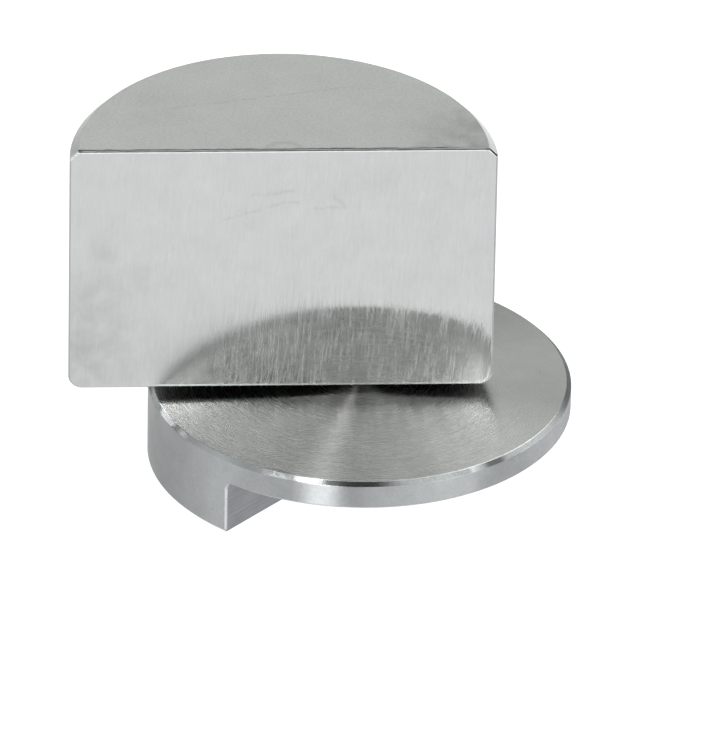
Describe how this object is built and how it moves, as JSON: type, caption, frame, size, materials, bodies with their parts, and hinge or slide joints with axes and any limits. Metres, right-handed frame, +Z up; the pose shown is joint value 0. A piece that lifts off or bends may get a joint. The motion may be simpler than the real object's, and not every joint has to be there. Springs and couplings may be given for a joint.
{
  "type": "pivot hinge",
  "caption": "Half-round door block that turns on a hidden pin above a round base leaf with a half-moon lug, bonded to a frameless glass door.",
  "frame": {"origin": "on the pivot's axis, at the underside of the base leaf's lug, which the hinge stands on", "axes": "+Z up along the pivot; -Y out of the lug's flat, towards the glass plate that the disc lies on; +X along the lug's flat"},
  "size_m": [0.0451, 0.0477, 0.0378],
  "materials": {
    "satin_steel": "turned and brushed satin stainless steel",
    "pin_steel": "ground stainless steel",
    "bush_plastic": "dark bearing plastic"
  },
  "bodies": {
    "base": {"base_leaf": "satin_steel", "pivot_pin": "pin_steel"},
    "block": {"door_block": "satin_steel", "pivot_bush": "bush_plastic"}
  },
  "joints": [
    {"name": "swing", "type": "hinge", "parent": "base", "child": "block", "pos_m": [0, 0, 0.009], "axis": [0, 0, 1], "continuous": true}
  ]
}
